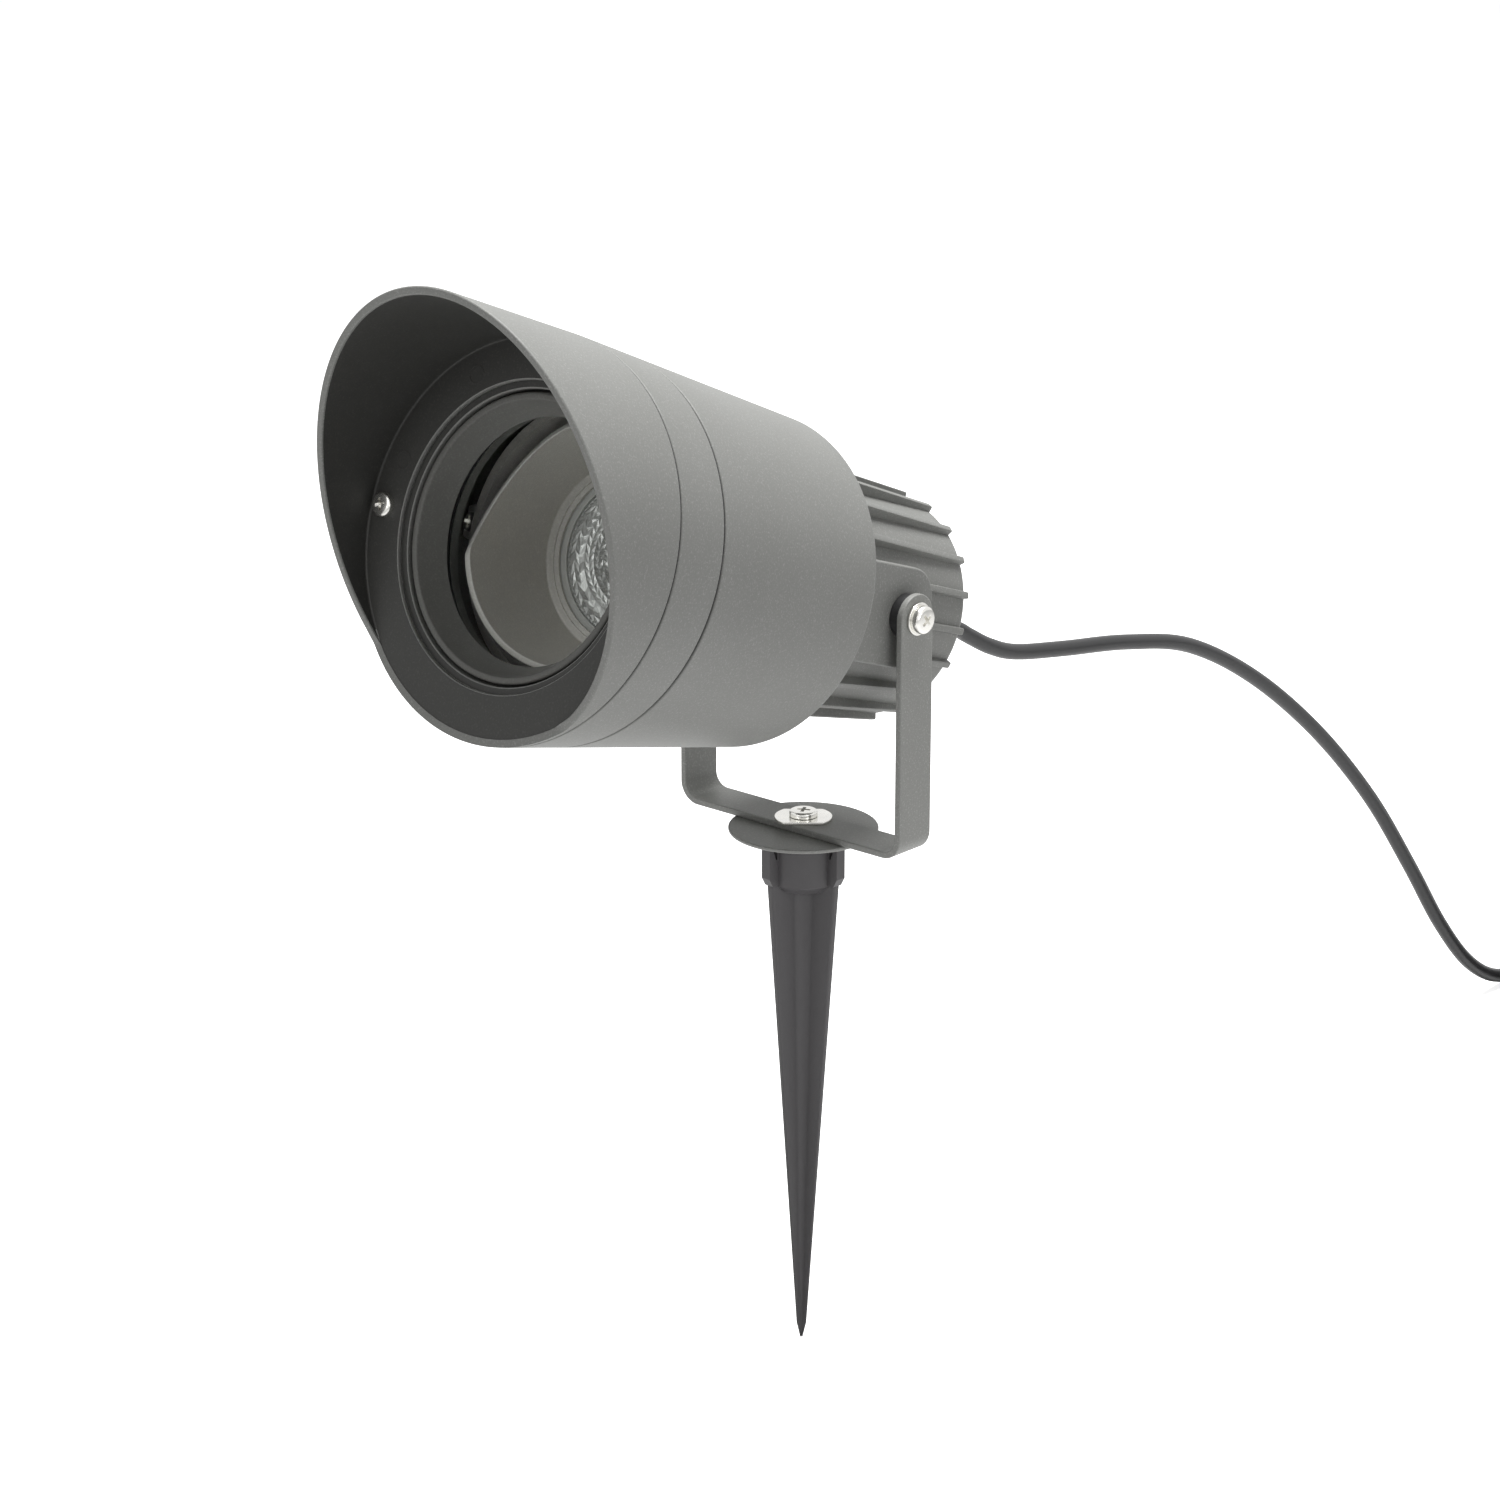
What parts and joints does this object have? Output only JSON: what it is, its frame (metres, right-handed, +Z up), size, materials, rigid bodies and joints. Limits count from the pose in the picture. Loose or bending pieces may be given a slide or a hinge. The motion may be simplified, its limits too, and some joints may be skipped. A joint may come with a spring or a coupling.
{
  "type": "garden spike spotlight",
  "caption": "Ground spike spotlight: round head with a slanted glare shield, tilting lamp cup and finned rear, held in a U-shaped yoke on a tapered spike, with a cable and plug.",
  "frame": {"origin": "centre of the yoke strip's underside, on the spike's axis, where the flange meets the yoke", "axes": "+Z up along the spike's axis, X along the tilt axis, the head looks along -Y with its nose raised"},
  "size_m": [0.2098, 0.6151, 0.3496],
  "materials": {
    "spike_plastic": "grained, slightly rough",
    "dark_paint": "fine textured powder coat with a metallic speckle",
    "yoke_paint": "fine textured powder coat",
    "steel": "bright zinc plating",
    "black_rubber": "matt",
    "clear_glass": "clear, toughened",
    "inner_aluminium": "satin grey paint",
    "black_nylon": "moulded, satin",
    "white_plastic": "moulded",
    "lamp_shell": "moulded, satin",
    "lamp_lens": "clear with small facets",
    "led_yellow": "phosphor",
    "plated_brass": "nickel plated",
    "wire_insulation": "extruded",
    "cable_rubber": "satin black"
  },
  "bodies": {
    "spike": {"spike": "spike_plastic", "flange_plate": "dark_paint", "pan_bolt": "steel", "pan_nut": "steel"},
    "yoke": {"yoke": "yoke_paint", "pan_washer": "steel", "cord_run": "cable_rubber", "cord_coil": "cable_rubber", "cord_end": "cable_rubber", "coil_tie": "black_nylon", "plug_body": "cable_rubber", "plug_pins": "plated_brass", "earth_clips": "plated_brass"},
    "head": {"main_tube": "dark_paint", "rear_housing": "dark_paint", "housing_gasket": "black_rubber", "retaining_ring": "steel", "bezel_ring": "dark_paint", "bezel_o_ring": "black_rubber", "glare_shield": "dark_paint", "face_screws": "steel", "clamp_ring": "inner_aluminium", "front_glass": "clear_glass", "glass_gasket": "black_rubber", "gimbal_ring": "inner_aluminium", "gimbal_ring_screws": "steel", "gimbal_pins": "steel", "pivot_screw_left": "steel", "pivot_screw_right": "steel", "screw_washers": "steel", "pivot_spacers": "black_nylon", "cable_gland": "black_nylon", "gland_nut": "black_nylon", "strain_relief": "cable_rubber", "terminal_block": "white_plastic", "inner_cores": "wire_insulation", "lamp_leads": "wire_insulation"},
    "gimbal": {"lamp_cup": "inner_aluminium", "lamp_body": "lamp_shell", "lamp_lens": "lamp_lens", "led_module": "led_yellow", "lamp_clip": "steel", "lamp_pins": "plated_brass", "lamp_holder": "white_plastic"}
  },
  "joints": [
    {"name": "pan", "type": "hinge", "parent": "spike", "child": "yoke", "pos_m": [0, 0, 0], "axis": [0, 0, 1], "range_deg": [-170, 170]},
    {"name": "tilt", "type": "hinge", "parent": "yoke", "child": "head", "pos_m": [0, 0, 0.0715], "axis": [-1, 0, 0], "range_deg": [-45, 50], "deforming": ["cord_run"]},
    {"name": "lamp_cup_tilt", "type": "hinge", "parent": "head", "child": "gimbal", "pos_m": [0, -0.08982, 0.10243], "axis": [0, 0.3256, 0.9455], "range_deg": [-19, 1], "deforming": ["lamp_leads"]}
  ]
}
